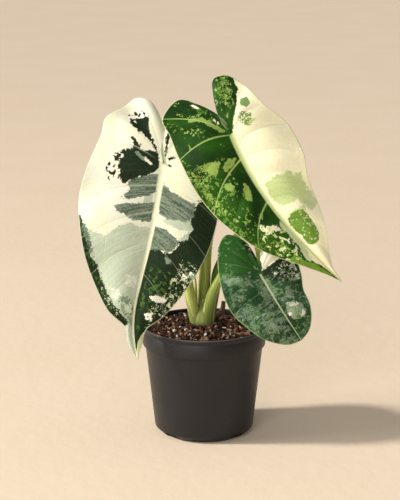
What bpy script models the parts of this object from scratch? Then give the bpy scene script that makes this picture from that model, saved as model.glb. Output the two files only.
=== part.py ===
# Potted variegated alocasia: three hanging blades on arched stalks in a moulded nursery pot.
# Metres, +Z up. The pot stands on z = 0 with its axis on the origin, and the camera side is -Y.

import math
import random

import bmesh
import bpy
from mathutils import Matrix, Vector

MM = 0.001
GAP = 0.3 * MM

# Pot, a 12 cm nursery pot.
RIM_R = 60.0 * MM
POT_H = 107.0 * MM
BAND_H = 19.0 * MM
WALL_TOP_R = 57.6 * MM
WALL_FOOT_R = 48.3 * MM
BASE_R = 43.0 * MM
FOOT_H = 5.5 * MM
POT_WALL = 1.3 * MM
POT_FLOOR = 1.6 * MM
SLOT_WIDTH = 12.0 * MM
SLOT_HEIGHT = 3.6 * MM
SLOT_TURNS = (45.0, 135.0, 225.0, 315.0)
POT_SIDES = 72

# Potting mix.
SOIL_EDGE_Z = 101.5 * MM
SOIL_MOUND_Z = 104.5 * MM
CHIPS = 54
SOIL_SIDES = 48

# Crown, the short thick stem that every stalk grows from.
CROWN_AT = Vector((-0.2 * MM, 10.4 * MM, 0.0))
CROWN_R = 15.0 * MM
CROWN_TOP = 104.8 * MM
CROWN_DEEP = 42.0 * MM

# Stalks: foot and end radius, where the open sheath ends as a share of the length and which way round
# it laps, and the points that the centre line passes, in mm.
STALK_SIDES = 14
STALK_STEPS = 4
STALKS = {
    "petiole_left": {
        "foot": 5.2,
        "end": 2.0,
        "sheath": (0.42, 150),
        "path": ((-8.1, 7.2, 105.1), (-9.8, 7, 118), (-13.2, 6, 136), (-18.5, 3, 165), (-27, -1, 205),
                 (-35, -5, 242), (-38.3, -12, 264)),
    },
    "petiole_upper": {
        "foot": 4.6,
        "end": 2.2,
        "sheath": (0.4, 205),
        "path": ((0.4, 15.4, 105.1), (0.9, 14.4, 124), (1.2, 12.6, 148), (2.8, 9.6, 178), (5.3, 6.5, 196),
                 (8.2, 3, 214), (11.8, -2, 236), (16, -8, 258), (21, -17, 281), (24.6, -27, 296)),
    },
    "petiole_small": {
        "foot": 4.9,
        "end": 1.8,
        "sheath": (0.36, 100),
        "path": ((3.4, 3.2, 105.1), (5, 3.2, 122), (9.6, 2.6, 140), (17.6, 0.8, 157), (25, -4, 177),
                 (30.5, -13, 196), (37.5, -23, 207), (45, -31, 205), (50, -37, 193), (52, -41.5, 178)),
    },
}

# Young leaf, still rolled in its sheath.
SPEAR = {
    "path": ((8.6, 14.2, 105.1), (9.2, 13.8, 124), (10.6, 13.4, 142), (12, 12.4, 156), (14.8, 11.2, 168),
             (18.5, 10.4, 179)),
    "foot": 2.2,
    "end": 0.7,
    "swell": 2.9,
    "sheath": (0.7, 10),
}

# Small scale leaf at the back of the clump.
SCALE_LEAF = {
    "path": ((-9.2, 18.2, 105.1), (-8.8, 18.2, 124), (-8.2, 16.8, 141), (-9.4, 15.2, 153)),
    "foot": 2.8,
    "end": 0.6,
    "sheath": (0.8, 60),
}

# Dried end of an old stalk.
OLD_STALK = {
    "path": ((9.4, 20.2, 105.1), (13.4, 22.2, 109.5), (18, 24.4, 115.5), (19.4, 25.2, 123)),
    "foot": 2.2,
    "end": 2.1,
    "sheath": (0.9, 0),
}

# Blades. Each lies about a plane through its attachment: "toward" is the way to the tip and "across"
# the way to the viewer's right. A rib row gives where a side vein leaves the midrib, then where it
# meets the left and the right margin, as (along, across) in mm. Rows at 0 fan into the rear lobes.
BLADE_THICK = 0.8
RIB_STEPS = 3
ACROSS_STEPS = 6
BLADES = {
    "blade_left": {
        "at": (-38.7, -30.0, 271.5),
        "toward": (-0.138, -0.193, -0.971),
        "across": (0.985, -0.128, -0.114),
        "bow": -8.5,
        "bow_late": 2.5,
        "bend": 5.0,
        "arch": (10.0, 0.2, 5.0),
        "pillow": 4.0,
        "wave": (3.2, 0.9, 0.4),
        "ribs": (
            (187, 187, 0, 187, 0),
            (162, 172, -11, 171, 3),
            (134, 157, -16, 157, 5),
            (104, 142, -35.5, 142, 20),
            (74, 113, -54.5, 113, 38.5),
            (45, 80, -67, 81, 52),
            (20, 46, -75, 46, 58),
            (3, 16, -71, 18, 57),
            (0, -17, -63, -13, 48),
            (0, -35, -60, -31, 42),
            (0, -47, -46, -46, 33),
            (0, -58, -34, -56, 20),
            (0, -55, -18, -54, 6),
            (0, -34, -5, -36, 1.5),
            (0, -7, -0.6, -7, 0.6),
        ),
    },
    "blade_upper": {
        "at": (25.6, -45.0, 301.9),
        "toward": (0.603, -0.195, -0.773),
        "across": (0.795, 0.228, 0.563),
        "bow": -11.0,
        "bow_late": 0.85,
        "bend": 5.0,
        "arch": (11.0, 0.2, 5.0),
        "pillow": 4.5,
        "wave": (2.6, 0.8, 2.1),
        "ribs": (
            (170, 170, 0, 170, 0),
            (146, 157, -7, 156, 1),
            (120, 142, -17, 142, 7),
            (95, 122, -31, 122, 17),
            (69, 100, -44, 98, 26),
            (45, 75, -53.5, 72, 33.5),
            (23, 49, -58.5, 52, 43),
            (9, 20, -59, 23, 48),
            (0, -10, -53.5, -6, 40),
            (0, -33, -47, -28, 38),
            (0, -50, -43, -46, 31),
            (0, -56, -20, -52, 18),
            (0, -38, -8, -38, 9),
            (0, -8, 0, -8, 1.2),
        ),
    },
    "blade_small": {
        "at": (52.4, -54.0, 170.5),
        "toward": (0.545, -0.164, -0.822),
        "across": (0.832, 0.224, 0.507),
        "bow": -1.2,
        "bow_late": 1.1,
        "bend": 2.5,
        "arch": (9.0, 0.3, 3.0),
        "pillow": 3.0,
        "wave": (1.4, 0.7, 1.0),
        "ribs": (
            (74, 74, 0, 74, 0),
            (67, 71, -12, 70, 11),
            (55, 63, -22, 61, 19),
            (42, 50, -32, 48, 25),
            (29, 34, -38, 34, 27),
            (16, 18, -42, 20, 33),
            (5, 2, -41, 4, 37),
            (0, -15, -35.5, -6, 34),
            (0, -31, -27.5, -15, 27),
            (0, -43, -19, -19, 20),
            (0, -48, -5, -18, 14),
            (0, -31, 6, -14, 11),
            (0, -6, 3.4, -6, 4.6),
        ),
    },
}


def clear_scene():
    for obj in list(bpy.data.objects):
        bpy.data.objects.remove(obj, do_unlink=True)


def material(name, rgb, roughness):
    made = bpy.data.materials.new(name)
    made.use_nodes = True
    shader = made.node_tree.nodes["Principled BSDF"]
    shader.inputs["Base Color"].default_value = (rgb[0], rgb[1], rgb[2], 1.0)
    shader.inputs["Roughness"].default_value = roughness
    made.diffuse_color = (rgb[0], rgb[1], rgb[2], 1.0)
    return made


def finish(mesh_maker, name, collection, made_of=None):
    """Turns a bmesh into an object of this name in this collection."""
    bmesh.ops.recalc_face_normals(mesh_maker, faces=mesh_maker.faces)
    mesh = bpy.data.meshes.new(name)
    mesh_maker.to_mesh(mesh)
    mesh_maker.free()
    obj = bpy.data.objects.new(name, mesh)
    collection.objects.link(obj)
    if made_of:
        mesh.materials.append(made_of)
    return obj


def new_collection(name):
    made = bpy.data.collections.new(name)
    bpy.context.scene.collection.children.link(made)
    return made


def as_cutter(obj):
    obj.hide_render = True
    obj.display_type = "WIRE"


def boolean(obj, operation, others=None, other=None):
    modifier = obj.modifiers.new(operation.lower(), "BOOLEAN")
    modifier.operation = operation
    modifier.solver = "EXACT"
    if others:
        modifier.operand_type = "COLLECTION"
        modifier.collection = others
    else:
        modifier.object = other
    return modifier


def apply_modifiers(obj):
    graph = bpy.context.evaluated_depsgraph_get()
    mesh = bpy.data.meshes.new_from_object(obj.evaluated_get(graph))
    obj.modifiers.clear()
    obj.data = mesh


def turned(profile, sides, name, collection, made_of):
    """A closed solid turned about Z from (radius, height) points that begin and end on the axis."""
    maker = bmesh.new()
    points = [maker.verts.new((r, 0.0, z)) for r, z in profile]
    edges = [maker.edges.new(pair) for pair in zip(points, points[1:])]
    bmesh.ops.spin(maker, geom=points + edges, cent=(0, 0, 0), axis=(0, 0, 1), dvec=(0, 0, 0),
                   angle=2 * math.pi, steps=sides, use_merge=True)
    bmesh.ops.remove_doubles(maker, verts=maker.verts, dist=1e-6)
    bmesh.ops.dissolve_degenerate(maker, edges=maker.edges, dist=1e-7)
    return finish(maker, name, collection, made_of)


def pot(nodes, cutters, made_of):
    """Tapered wall under a taller, wider rim band, with a bevelled foot and four drain slots."""
    band_foot = POT_H - BAND_H
    inner_foot = WALL_FOOT_R - POT_WALL
    profile = [
        (0.0, 0.0),
        (BASE_R, 0.0),
        (WALL_FOOT_R, FOOT_H),
        (WALL_TOP_R, band_foot - 0.4 * MM),
        (RIM_R - 0.9 * MM, band_foot + 0.3 * MM),
        (RIM_R, band_foot + 2.0 * MM),
        (RIM_R, POT_H - 0.8 * MM),
        (RIM_R - 0.5 * MM, POT_H),
        (RIM_R - POT_WALL - 0.3 * MM, POT_H),
        (RIM_R - POT_WALL - 0.6 * MM, POT_H - 0.8 * MM),
        (RIM_R - POT_WALL - 0.9 * MM, band_foot + 1.8 * MM),
        (WALL_TOP_R - POT_WALL, band_foot - 0.6 * MM),
        (inner_foot, FOOT_H + 0.4 * MM),
        (BASE_R - 0.6 * MM, POT_FLOOR),
        (0.0, POT_FLOOR),
    ]
    shell = turned(profile, POT_SIDES, "pot", nodes, made_of)
    for turn in SLOT_TURNS:
        maker = bmesh.new()
        bmesh.ops.create_cube(maker, size=1.0)
        place = (Matrix.Rotation(math.radians(turn), 4, "Z")
                 @ Matrix.Translation((WALL_FOOT_R - 0.5 * MM, 0, SLOT_HEIGHT / 2 + 0.6 * MM))
                 @ Matrix.Diagonal((14 * MM, SLOT_WIDTH, SLOT_HEIGHT, 1)))
        bmesh.ops.transform(maker, matrix=place, verts=maker.verts)
        slot = finish(maker, "drain_slot_%d" % turn, cutters)
        as_cutter(slot)
        boolean(shell, "DIFFERENCE", other=slot)
    return shell


def soil_height(radius):
    return SOIL_EDGE_Z + (SOIL_MOUND_Z - SOIL_EDGE_Z) * math.exp(-(radius / (30 * MM)) ** 2)


def soil(nodes, cutters, made_of):
    """Potting mix cast to the inside of the pot, lumpy on top, with bark and perlite fused to it."""
    band_foot = POT_H - BAND_H
    inner_foot = WALL_FOOT_R - POT_WALL
    rings = (54, 46, 37, 28, 19.5)
    profile = [
        (0.0, POT_FLOOR + GAP),
        (BASE_R - 0.9 * MM, POT_FLOOR + GAP),
        (inner_foot - GAP, FOOT_H + 0.6 * MM),
        (WALL_TOP_R - POT_WALL - GAP, band_foot - 0.4 * MM),
        (WALL_TOP_R - POT_WALL - GAP, band_foot + 2.0 * MM),
        (RIM_R - POT_WALL - 3.0 * MM, SOIL_EDGE_Z - 1.6 * MM),
    ]
    profile += [(r * MM, soil_height(r * MM)) for r in rings]
    profile.append((0.0, SOIL_MOUND_Z))
    body = turned(profile, SOIL_SIDES, "soil", nodes, made_of)
    rng = random.Random(11)
    for vert in body.data.vertices:
        radius = math.hypot(vert.co.x, vert.co.y)
        if vert.co.z > SOIL_EDGE_Z - 0.5 * MM and 1 * MM < radius < 55 * MM:
            vert.co.z += rng.uniform(-1.1, 0.9) * MM
    chips = new_collection("soil chips")
    placed = []
    while len(placed) < CHIPS:
        turn = rng.uniform(0, 2 * math.pi)
        radius = rng.uniform(20, 52) * MM
        size = rng.uniform(2.6, 5.6) * MM
        at = Vector((radius * math.cos(turn), radius * math.sin(turn), soil_height(radius) - 0.05 * size))
        if any((at - other).length < 0.75 * (size + other_size) for other, other_size in placed):
            continue
        placed.append((at, size))
        maker = bmesh.new()
        bmesh.ops.create_cube(maker, size=1.0)
        for vert in maker.verts:
            vert.co *= rng.uniform(0.78, 1.1)
        place = (Matrix.Translation(at)
                 @ Matrix.Rotation(rng.uniform(0, math.pi), 4, "Z")
                 @ Matrix.Rotation(rng.uniform(-0.4, 0.4), 4, "X")
                 @ Matrix.Diagonal((size, size * rng.uniform(0.5, 0.8), size * 0.8, 1)))
        bmesh.ops.transform(maker, matrix=place, verts=maker.verts)
        finish(maker, "chip_%d" % len(placed), chips, made_of)
    boolean(body, "UNION", others=chips)
    bpy.context.view_layer.update()
    apply_modifiers(body)
    for chip in list(chips.objects):
        bpy.data.objects.remove(chip, do_unlink=True)
    bpy.data.collections.remove(chips)
    hole = crown_solid("crown_hole", cutters, None, GAP, POT_H + 20 * MM)
    as_cutter(hole)
    boolean(body, "DIFFERENCE", other=hole)
    return body


def crown_solid(name, collection, made_of, grow, top):
    profile = [
        (0.0, CROWN_TOP - CROWN_DEEP - grow),
        (CROWN_R * 0.55 + grow, CROWN_TOP - CROWN_DEEP - grow),
        (CROWN_R * 0.9 + grow, CROWN_TOP - CROWN_DEEP * 0.7),
        (CROWN_R + grow, CROWN_TOP - CROWN_DEEP * 0.3),
        (CROWN_R + grow, top),
        (0.0, top),
    ]
    body = turned(profile, 32, name, collection, made_of)
    body.data.transform(Matrix.Translation(CROWN_AT))
    return body


def crown(nodes, made_of):
    """Short thick stem in a plain hole of the potting mix, flat on top under the stalks."""
    return crown_solid("crown", nodes, made_of, 0.0, CROWN_TOP)


def through(points, steps):
    """Points of a smooth curve through the given ones, with this many steps to each stretch."""
    ends = [2 * points[0] - points[1]] + list(points) + [2 * points[-1] - points[-2]]
    out = []
    for i in range(1, len(ends) - 2):
        a, b, c, d = ends[i - 1:i + 3]
        for k in range(steps):
            t = k / steps
            out.append(0.5 * (2 * b + (c - a) * t + (2 * a - 5 * b + 4 * c - d) * t * t
                              + (3 * b - a - 3 * c + d) * t ** 3))
    out.append(points[-1].copy())
    return out


def blade_axes(spec):
    toward = Vector(spec["toward"]).normalized()
    across = Vector(spec["across"])
    across = (across - toward * across.dot(toward)).normalized()
    face = across.cross(toward).normalized()
    if face.y > 0:
        face = -face
    return toward, across, face


def sheath_lap(spec, share, angle):
    """How much wider the stalk is where its open sheath laps round it, narrowing to a point above."""
    top, turn = spec["sheath"]
    half_width = math.radians(125) * max(0.0, 1 - share / top)
    away = abs((angle - math.radians(turn) + math.pi) % (2 * math.pi) - math.pi)
    edge = max(0.0, min(1.0, (half_width - away) / math.radians(20)))
    return 1.0 + (0.08 + 0.24 * math.sin(math.pi * min(1.0, share / top))) * edge


def stalk(name, spec, nodes, made_of, end_at=None, end_way=None):
    """A round tapering stalk swept along its centre line, squared off where it meets a blade."""
    points = [Vector(p) * MM for p in spec["path"]]
    if end_at:
        points += [end_at - end_way * 4.0 * MM, end_at]
    line = through(points, STALK_STEPS)
    maker = bmesh.new()
    loops = []
    side = Vector((1, 0, 0))
    for i, at in enumerate(line):
        if i == 0:
            way = Vector((0, 0, 1))
        elif i == len(line) - 1 and end_way:
            way = end_way
        else:
            way = (line[min(i + 1, len(line) - 1)] - line[i - 1]).normalized()
        side = (side - way * side.dot(way)).normalized()
        other = way.cross(side)
        share = i / (len(line) - 1)
        swell = spec.get("swell", 0.0) * math.sin(math.pi * share) ** 1.5
        radius = (spec["end"] + (spec["foot"] - spec["end"]) * (1 - share) ** 1.4 + swell) * MM
        loop = []
        for k in range(STALK_SIDES):
            angle = 2 * math.pi * k / STALK_SIDES
            radius_here = radius * sheath_lap(spec, share, angle)
            loop.append(maker.verts.new(at + radius_here * (math.cos(angle) * side + math.sin(angle) * other)))
        loops.append(loop)
    for low, high in zip(loops, loops[1:]):
        for k in range(STALK_SIDES):
            n = (k + 1) % STALK_SIDES
            maker.faces.new((low[k], low[n], high[n], high[k]))
    maker.faces.new(list(reversed(loops[0])))
    maker.faces.new(loops[-1])
    return finish(maker, name, nodes, made_of)


def blade_point(spec, rows, half, row, share):
    """A point of the upper face: half is -1 or 1, row counts veins from the tip, share is 0 to 1."""
    length = spec["ribs"][0][0]
    root = Vector((rows[row][0], spec["bow"] * math.sin(math.pi * min(rows[row][0] / length, 1) ** spec["bow_late"])))
    margin = Vector(rows[row][1:3] if half < 0 else rows[row][3:5])
    reach = margin - root
    vein = row / RIB_STEPS
    flat = root + reach * share
    bend = spec["bend"] * math.sin(math.pi * share) * min(1.0, reach.length / 40.0)
    normal = Vector((reach.y, -reach.x)).normalized() if reach.length > 1e-6 else Vector((0, 0))
    flat -= normal * bend * half * (1 if normal.length else 0)
    tip_drop, start, lobe_drop = spec["arch"]
    height = -tip_drop * max(0.0, (flat.x / length - start) / (1 - start)) ** 2
    height -= lobe_drop * (max(0.0, -flat.x) / 50.0) ** 2
    size = min(1.0, reach.length / 30.0)
    calm = min(1.0, (len(spec["ribs"]) - 1 - vein) / 3.5)
    height += spec["pillow"] * size * (0.3 + 0.7 * calm) * abs(math.sin(math.pi * share ** 0.9)) ** 1.5
    amount, pace, phase = spec["wave"]
    height += amount * size * calm * share ** 2.2 * math.sin(math.pi * pace * vein + phase * (2 + half))
    quilt = abs(math.sin(math.pi * vein)) ** 0.8 * math.sin(math.pi * min(1, share * 1.02)) ** 0.6
    height += 0.9 * size * calm * quilt
    return flat, height


def blade(name, spec, nodes, made_of):
    """A waved, quilted blade whose mesh rows are its side veins, thicker along the ribs beneath."""
    toward, across, face = blade_axes(spec)
    ribs = [tuple(float(v) for v in row) for row in spec["ribs"]]
    rows = []
    for i in range(len(ribs) - 1):
        before = ribs[max(i - 1, 0)]
        after = ribs[min(i + 2, len(ribs) - 1)]
        for k in range(RIB_STEPS):
            t = k / RIB_STEPS
            row = []
            for a, b, c, d in zip(before, ribs[i], ribs[i + 1], after):
                row.append(0.5 * (2 * b + (c - a) * t + (2 * a - 5 * b + 4 * c - d) * t * t
                                  + (3 * b - a - 3 * c + d) * t ** 3))
            row[0] = max(0.0, row[0])
            if i >= [r[0] for r in ribs].index(0.0):
                row[0] = 0.0
            rows.append(row)
    rows.append(list(ribs[-1]))
    maker = bmesh.new()
    weights = maker.verts.layers.deform.verify()
    for half in (-1, 1):
        grid = []
        for row in range(len(rows)):
            line = []
            for step in range(ACROSS_STEPS + 1):
                share = step / ACROSS_STEPS
                flat, height = blade_point(spec, rows, half, row, share)
                at = Vector(spec["at"]) + toward * flat.x + across * flat.y + face * height
                vert = maker.verts.new(at * MM)
                on_vein = 0.14 if row % RIB_STEPS == 0 else 0.0
                along = flat.x / ribs[0][0]
                vert[weights][0] = (0.9 - 0.65 * max(0.0, along)) if step == 0 else on_vein * (1 - share)
                line.append(vert)
            grid.append(line)
        for low, high in zip(grid, grid[1:]):
            for k in range(ACROSS_STEPS):
                corners = (low[k], low[k + 1], high[k + 1], high[k])
                maker.faces.new(corners if half > 0 else corners[::-1])
    bmesh.ops.remove_doubles(maker, verts=maker.verts, dist=2e-6)
    bmesh.ops.dissolve_degenerate(maker, edges=maker.edges, dist=1e-6)
    bmesh.ops.triangulate(maker, faces=maker.faces)
    bmesh.ops.recalc_face_normals(maker, faces=maker.faces)
    maker.faces.ensure_lookup_table()
    if sum((f.normal * f.calc_area() for f in maker.faces), Vector()).dot(face) < 0:
        bmesh.ops.reverse_faces(maker, faces=maker.faces)
    mesh = bpy.data.meshes.new(name)
    maker.to_mesh(mesh)
    maker.free()
    obj = bpy.data.objects.new(name, mesh)
    obj.vertex_groups.new(name="rib")
    nodes.objects.link(obj)
    mesh.materials.append(made_of)
    solid = obj.modifiers.new("thickness", "SOLIDIFY")
    solid.thickness = 2.6 * MM
    solid.offset = -1.0
    solid.vertex_group = "rib"
    solid.thickness_vertex_group = BLADE_THICK / 2.6
    return obj


def main():
    clear_scene()
    nodes = new_collection("potted alocasia")
    cutters = new_collection("cutters")
    plastic = material("pot_plastic", (0.045, 0.042, 0.042), 0.55)
    mix = material("potting_mix", (0.075, 0.045, 0.028), 0.95)
    bark = material("crown_skin", (0.20, 0.13, 0.07), 0.85)
    green = material("stalk_green", (0.36, 0.48, 0.10), 0.45)
    dry = material("dry_stalk", (0.28, 0.18, 0.09), 0.8)
    leaf = {
        "blade_left": material("left_leaf", (0.42, 0.50, 0.30), 0.5),
        "blade_upper": material("upper_leaf", (0.22, 0.36, 0.10), 0.5),
        "blade_small": material("small_leaf", (0.05, 0.14, 0.05), 0.5),
    }
    pot(nodes, cutters, plastic)
    soil(nodes, cutters, mix)
    crown(nodes, bark)
    for blade_name, spec in BLADES.items():
        blade(blade_name, spec, nodes, leaf[blade_name])
        _, _, face = blade_axes(spec)
        end_at = (Vector(spec["at"]) - face * 3.0) * MM
        stalk_name = blade_name.replace("blade", "petiole")
        stalk(stalk_name, STALKS[stalk_name], nodes, green, end_at, face)
    stalk("young_leaf", SPEAR, nodes, green)
    stalk("scale_leaf", SCALE_LEAF, nodes, green)
    stalk("old_stalk", OLD_STALK, nodes, dry)


main()
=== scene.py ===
# Looks of the potted variegated alocasia: studio, pot, potting mix, stalks and the three blades.
import math
import random

import bmesh
import bpy
import numpy as np
from mathutils import Matrix, Vector


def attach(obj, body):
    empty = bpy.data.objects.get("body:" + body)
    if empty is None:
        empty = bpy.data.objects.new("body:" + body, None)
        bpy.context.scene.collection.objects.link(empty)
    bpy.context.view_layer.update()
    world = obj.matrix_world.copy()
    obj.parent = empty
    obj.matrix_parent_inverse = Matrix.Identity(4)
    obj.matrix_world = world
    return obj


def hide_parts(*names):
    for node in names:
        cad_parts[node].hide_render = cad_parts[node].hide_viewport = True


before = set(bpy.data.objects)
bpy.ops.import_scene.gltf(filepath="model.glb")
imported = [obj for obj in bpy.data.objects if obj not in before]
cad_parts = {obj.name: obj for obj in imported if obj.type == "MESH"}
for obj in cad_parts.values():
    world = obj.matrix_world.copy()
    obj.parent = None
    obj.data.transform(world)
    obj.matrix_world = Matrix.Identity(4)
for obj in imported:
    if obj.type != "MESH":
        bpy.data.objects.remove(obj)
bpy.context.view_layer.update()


# Studio: a pale plaster floor that runs out of view, low warm sun from the left with a window's
# glow beside it, a soft white card in front, and a long lens at the photograph's angle.
def paint(red, green, blue):
    """A paint-chart colour, 0 to 255, as the shader's linear colour."""
    def linear(part):
        part /= 255.0
        return part / 12.92 if part <= 0.04045 else ((part + 0.055) / 1.055) ** 2.4
    return (linear(red), linear(green), linear(blue), 1.0)


class Finish:
    """One material, with short calls to add its nodes."""

    def __init__(self, name, roughness, specular=0.5):
        self.material = bpy.data.materials.new(name)
        self.material.use_nodes = True
        self.tree = self.material.node_tree
        self.shader = self.tree.nodes["Principled BSDF"]
        self.set("Roughness", roughness)
        self.set("Specular IOR Level", specular)

    def set(self, socket, value):
        if isinstance(value, bpy.types.NodeSocket):
            self.tree.links.new(value, self.shader.inputs[socket])
        else:
            self.shader.inputs[socket].default_value = value

    def node(self, kind, inputs=None, **settings):
        made = self.tree.nodes.new(kind)
        for name, value in settings.items():
            setattr(made, name, value)
        for name, value in (inputs or {}).items():
            if isinstance(value, bpy.types.NodeSocket):
                self.tree.links.new(value, made.inputs[name])
            else:
                made.inputs[name].default_value = value
        return made

    def math(self, operation, *values):
        return self.node("ShaderNodeMath", dict(enumerate(values)), operation=operation).outputs[0]

    def plus(self, first, second):
        return self.math("ADD", first, second)

    def times(self, first, second):
        return self.math("MULTIPLY", first, second)

    def swing(self, value, amount):
        """A value of 0 to 1 as a push to either side of 0, half the amount at most."""
        return self.times(self.math("SUBTRACT", value, 0.5), amount)

    def place(self):
        return self.node("ShaderNodeTexCoord").outputs["Object"]

    def noise(self, where, scale, detail=3.0, rough=0.55, warp=0.0):
        return self.node("ShaderNodeTexNoise", {"Vector": where, "Scale": scale, "Detail": detail,
                                                "Roughness": rough, "Distortion": warp}).outputs["Fac"]

    def vector(self, operation, first, second):
        """A sum with vectors, whose second input is a plain number when the first is scaled."""
        other = "Scale" if operation == "SCALE" else 1
        return self.node("ShaderNodeVectorMath", {0: first, other: second}, operation=operation).outputs[0]

    def crooked(self, where, scale, amount):
        """The same place shifted a little by a noise, so a pattern on it has uneven edges."""
        noise = self.node("ShaderNodeTexNoise", {"Vector": where, "Scale": scale, "Detail": 3.0})
        shift = self.vector("SUBTRACT", noise.outputs["Color"], (0.5, 0.5, 0.5))
        return self.vector("ADD", where, self.vector("SCALE", shift, amount))

    def cells(self, where, scale):
        """Three random numbers of 0 to 1 for each cell of a pattern of cells."""
        colour = self.node("ShaderNodeTexVoronoi", {"Vector": where, "Scale": scale}).outputs["Color"]
        return self.node("ShaderNodeSeparateColor", {"Color": colour}).outputs

    def stretch(self, where, x, y, z):
        return self.node("ShaderNodeMapping", {"Vector": where, "Scale": (x, y, z)}).outputs[0]

    def ramp(self, value, low, high):
        return self.node("ShaderNodeMapRange", {"Value": value, "From Min": low, "From Max": high},
                         interpolation_type="SMOOTHSTEP").outputs[0]

    def mix(self, share, first, second):
        return self.node("ShaderNodeMix", {0: share, 6: first, 7: second}, data_type="RGBA").outputs[2]

    def relief(self, height, depth, strength=1.0, under=None):
        inputs = {"Height": height, "Distance": depth, "Strength": strength}
        if under is not None:
            inputs["Normal"] = under
        return self.node("ShaderNodeBump", inputs).outputs[0]

    def number(self, name):
        return self.node("ShaderNodeAttribute", attribute_name=name).outputs["Fac"]


def as_piece(maker, name, *finishes):
    """Ends a bmesh as an object at the origin, with the given finishes."""
    mesh = bpy.data.meshes.new(name)
    maker.to_mesh(mesh)
    maker.free()
    piece = bpy.data.objects.new(name, mesh)
    bpy.context.scene.collection.objects.link(piece)
    for finish in finishes:
        mesh.materials.append(finish.material)
    return piece


def smooth(piece):
    piece.data.polygons.foreach_set("use_smooth", [True] * len(piece.data.polygons))
    piece.data.update()


plaster = Finish("pale_plaster", 0.85, 0.2)
plaster.set("Base Color", plaster.mix(plaster.noise(plaster.place(), 6.0, 5.0),
                                      paint(238, 218, 192), paint(245, 227, 204)))
plaster.set("Normal", plaster.relief(plaster.noise(plaster.place(), 60.0, 6.0), 0.0015, 0.35))
maker = bmesh.new()
bmesh.ops.create_grid(maker, x_segments=1, y_segments=1, size=80.0)
floor = as_piece(maker, "studio_floor", plaster)


def window(name, at, aim, size, watts, warmth):
    light = bpy.data.lights.new(name, "AREA")
    light.shape = "DISK"
    light.size = size
    light.energy = watts
    light.color = warmth
    lamp = bpy.data.objects.new(name, light)
    lamp.matrix_world = (Matrix.Translation(at)
                         @ (Vector(aim) - Vector(at)).to_track_quat("-Z", "Y").to_matrix().to_4x4())
    bpy.context.scene.collection.objects.link(lamp)


sun = bpy.data.lights.new("window_sun", "SUN")
sun.energy = 2.8
sun.angle = math.radians(7)
sun.color = (1.0, 0.96, 0.89)
sun_lamp = bpy.data.objects.new("window_sun", sun)
sun_lamp.matrix_world = Vector((2.0, 0.16, -1.36)).to_track_quat("-Z", "Y").to_matrix().to_4x4()
bpy.context.scene.collection.objects.link(sun_lamp)
window("front_card", (-0.7, -2.4, 1.1), (0.0, 0.0, 0.2), 1.5, 24.0, (1.0, 0.985, 0.96))
window("left_window", (-2.3, -0.5, 0.9), (0.0, 0.0, 0.1), 0.9, 20.0, (1.0, 0.97, 0.92))
world = bpy.data.worlds.new("room")
world.use_nodes = True
world.node_tree.nodes["Background"].inputs["Color"].default_value = (1.0, 0.97, 0.93, 1.0)
world.node_tree.nodes["Background"].inputs["Strength"].default_value = 0.3
bpy.context.scene.world = world
bpy.context.scene.view_settings.view_transform = "Standard"

lens = bpy.data.cameras.new("long_lens")
lens.lens = 119.9
lens.sensor_width = 36.0
camera = bpy.data.objects.new("long_lens", lens)
camera_at = Vector((-0.004, -1.565, 0.557))
camera_aim = Vector((-0.004, 0.0, 0.1812))
camera.matrix_world = (Matrix.Translation(camera_at)
                       @ (camera_aim - camera_at).to_track_quat("-Z", "Y").to_matrix().to_4x4())
bpy.context.scene.collection.objects.link(camera)
bpy.context.scene.camera = camera


# Pot: a 12 cm nursery pot injection-moulded in dull black polypropylene. It is turned from one
# profile, with a rolled lip, a tall rim band, a bevelled foot and four drain slots cut at the foot.
MM = 0.001


def turned(profile, sides, name, *finishes):
    """A closed solid spun about Z from (radius, height) points in mm that end on the axis."""
    maker = bmesh.new()
    line = [maker.verts.new((radius * MM, 0.0, height * MM)) for radius, height in profile]
    edges = [maker.edges.new(pair) for pair in zip(line, line[1:])]
    bmesh.ops.spin(maker, geom=line + edges, cent=(0, 0, 0), axis=(0, 0, 1), dvec=(0, 0, 0),
                   angle=2 * math.pi, steps=sides, use_merge=True)
    bmesh.ops.remove_doubles(maker, verts=maker.verts, dist=1e-6)
    bmesh.ops.dissolve_degenerate(maker, edges=maker.edges, dist=1e-7)
    bmesh.ops.recalc_face_normals(maker, faces=maker.faces)
    return as_piece(maker, name, *finishes)


black_plastic = Finish("moulded_black_plastic", 0.47, 0.36)
spot = black_plastic.place()
grain = black_plastic.noise(spot, 2600.0, 2.0, 0.6)
cloud = black_plastic.noise(spot, 26.0, 4.0, 0.6)
height_up = black_plastic.node("ShaderNodeSeparateXYZ", {"Vector": spot}).outputs["Z"]
scuff = black_plastic.noise(black_plastic.stretch(spot, 90.0, 90.0, 900.0), 1.0, 4.0, 0.7)
dust = black_plastic.times(black_plastic.ramp(scuff, 0.6, 0.78), black_plastic.ramp(cloud, 0.42, 0.62))
tone = black_plastic.mix(cloud, paint(25, 25, 28), paint(34, 33, 36))
tone = black_plastic.mix(black_plastic.times(dust, 0.3), tone, paint(98, 92, 88))
# Painted highlight: a paler band round the top of the rolled lip.
lip_highlight = black_plastic.ramp(height_up, 0.1060, 0.1067)
tone = black_plastic.mix(black_plastic.times(lip_highlight, 0.6), tone, paint(112, 106, 104))
# Painted shade: a dark line under the step at the foot of the rim band.
under_band_shade = black_plastic.times(black_plastic.ramp(height_up, 0.0862, 0.0874),
                                 black_plastic.ramp(height_up, 0.0888, 0.0882))
tone = black_plastic.mix(black_plastic.times(under_band_shade, 0.7), tone, paint(10, 10, 11))
black_plastic.set("Base Color", tone)
black_plastic.set("Roughness", black_plastic.node(
    "ShaderNodeMapRange", {"Value": black_plastic.noise(spot, 120.0, 4.0, 0.65), "To Min": 0.34,
                           "To Max": 0.52}).outputs[0])
black_plastic.set("Normal", black_plastic.relief(
    grain, 0.00012, 0.7, black_plastic.relief(cloud, 0.0006, 0.25)))

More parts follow.
